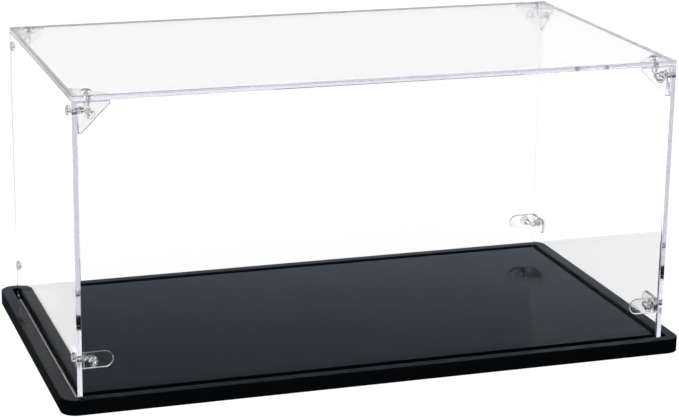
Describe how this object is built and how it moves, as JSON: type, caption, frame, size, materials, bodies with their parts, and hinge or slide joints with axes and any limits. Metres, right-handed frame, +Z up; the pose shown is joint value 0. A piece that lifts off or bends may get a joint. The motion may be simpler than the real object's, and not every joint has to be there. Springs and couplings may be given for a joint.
{
  "type": "model car display case",
  "caption": "Clear rectangular display cover that lifts off a low black base with a grooved rim, its panels held by corner brackets and push rivets.",
  "frame": {"origin": "middle of the base's underside, on the surface the case stands on", "axes": "+X along the case's length to the right seen from the front, +Y from front to back, +Z up"},
  "size_m": [0.3376, 0.1882, 0.1611],
  "materials": {
    "base_plastic": "black injection-moulded plastic, satin top, glossy sides",
    "clear_panel": "clear cut acrylic sheet, polished faces, faintly violet edges",
    "clear_bracket": "clear moulded plastic",
    "clear_rivet": "clear moulded plastic"
  },
  "bodies": {
    "base": {"base": "base_plastic"},
    "cover": {"top_panel": "clear_panel", "front_panel": "clear_panel", "back_panel": "clear_panel", "left_panel": "clear_panel", "right_panel": "clear_panel", "corner_bracket_front_left": "clear_bracket", "corner_bracket_front_right": "clear_bracket", "corner_bracket_rear_left": "clear_bracket", "corner_bracket_rear_right": "clear_bracket", "side_bracket_front_left": "clear_bracket", "side_bracket_front_right": "clear_bracket", "side_bracket_rear_left": "clear_bracket", "side_bracket_rear_right": "clear_bracket", "upper_rivet_sleeves_front_left": "clear_rivet", "upper_rivet_sleeves_front_right": "clear_rivet", "upper_rivet_sleeves_rear_left": "clear_rivet", "upper_rivet_sleeves_rear_right": "clear_rivet", "lower_rivet_sleeves_front_left": "clear_rivet", "lower_rivet_sleeves_front_right": "clear_rivet", "lower_rivet_sleeves_rear_left": "clear_rivet", "lower_rivet_sleeves_rear_right": "clear_rivet", "upper_rivet_pins_front_left": "clear_rivet", "upper_rivet_pins_front_right": "clear_rivet", "upper_rivet_pins_rear_left": "clear_rivet", "upper_rivet_pins_rear_right": "clear_rivet", "lower_rivet_pins_front_left": "clear_rivet", "lower_rivet_pins_front_right": "clear_rivet", "lower_rivet_pins_rear_left": "clear_rivet", "lower_rivet_pins_rear_right": "clear_rivet"}
  },
  "joints": [
    {"name": "cover_lift", "type": "slide", "parent": "base", "child": "cover", "axis": [0, 0, 1], "range_m": [0, 0.17]}
  ]
}
